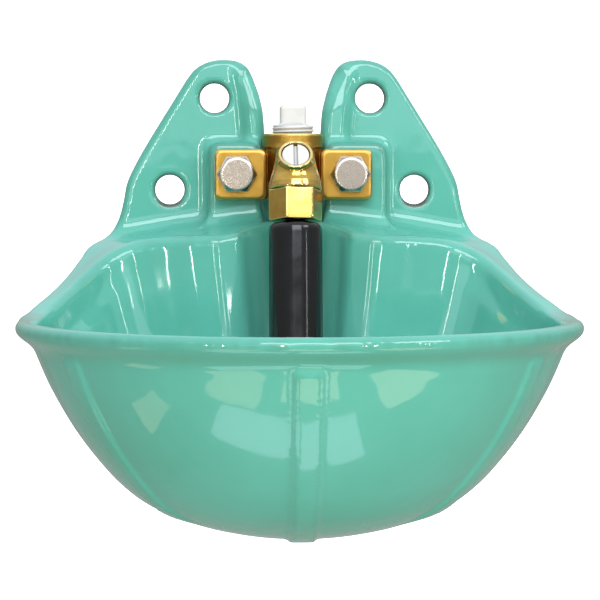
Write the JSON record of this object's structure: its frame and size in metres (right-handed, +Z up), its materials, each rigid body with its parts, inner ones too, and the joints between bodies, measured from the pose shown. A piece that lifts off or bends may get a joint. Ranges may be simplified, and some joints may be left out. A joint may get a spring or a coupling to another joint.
{
  "type": "cast iron drinking bowl",
  "caption": "Wall-mounted enamelled cast iron drinking bowl for livestock, filled through a brass tilt valve when an animal pushes its hanging tube.",
  "frame": {"origin": "on the wall plane, in the plane of symmetry, midway in height between the two rows of fixing holes", "axes": "+Z up, +Y into the wall, -Y out to the front of the bowl, +X to the viewer's right"},
  "size_m": [0.256, 0.2425, 0.2202],
  "materials": {
    "enamel": "glossy turquoise enamel",
    "brass": "satin forged, machined faces",
    "steel": "zinc plated",
    "spring_steel": "bright wire",
    "rubber": "matte",
    "tube_plastic": "glossy black",
    "white_plastic": "satin white"
  },
  "bodies": {
    "fixed": {"bowl_casting": "enamel", "valve_body": "brass", "seat_ring": "brass", "tube_nut": "brass", "nut_gasket": "rubber", "top_plug": "white_plastic", "bolt_left": "steel", "bolt_right": "steel", "valve_spring": "spring_steel"},
    "seal": {"tube_seal_ring": "rubber"},
    "tube": {"actuating_tube": "tube_plastic"},
    "stem": {"valve_stem": "brass", "disc_seal": "rubber", "valve_disc": "brass", "stem_nut": "brass"},
    "screw_ring": {"screw_o_ring": "rubber"},
    "screw": {"adjusting_screw": "white_plastic"}
  },
  "joints": [
    {"name": "tube_push", "type": "hinge", "parent": "fixed", "child": "seal", "pos_m": [0, -0.05573, -0.03409], "axis": [1, 0, 0], "range_deg": [0, 5.5], "stiffness_Nm_per_rad": 4, "springref_deg": -2.86},
    {"name": "tube_swing", "type": "hinge", "parent": "seal", "child": "tube", "pos_m": [0, -0.05573, -0.03409], "axis": [0, -0.9863, 0.165], "range_deg": [-3, 3], "stiffness_Nm_per_rad": 4},
    {"name": "stem_lift", "type": "slide", "parent": "fixed", "child": "stem", "axis": [0, 0.165, 0.9863], "range_m": [0, 0.00066], "deforming": ["valve_spring"]},
    {"name": "screw_travel", "type": "slide", "parent": "fixed", "child": "screw_ring", "axis": [0, 0.7771, -0.6293], "range_m": [-0.00062, 0.00124]},
    {"name": "screw_turn", "type": "hinge", "parent": "screw_ring", "child": "screw", "pos_m": [0, -0.052, -0.0115], "axis": [0, 0.7771, -0.6293], "range_deg": [-180, 360]}
  ],
  "couplings": [
    {"joint": "stem_lift", "follows": "tube_push", "m_per_rad": 0.006},
    {"joint": "screw_turn", "follows": "screw_travel", "rad_per_m": 5026.5}
  ]
}
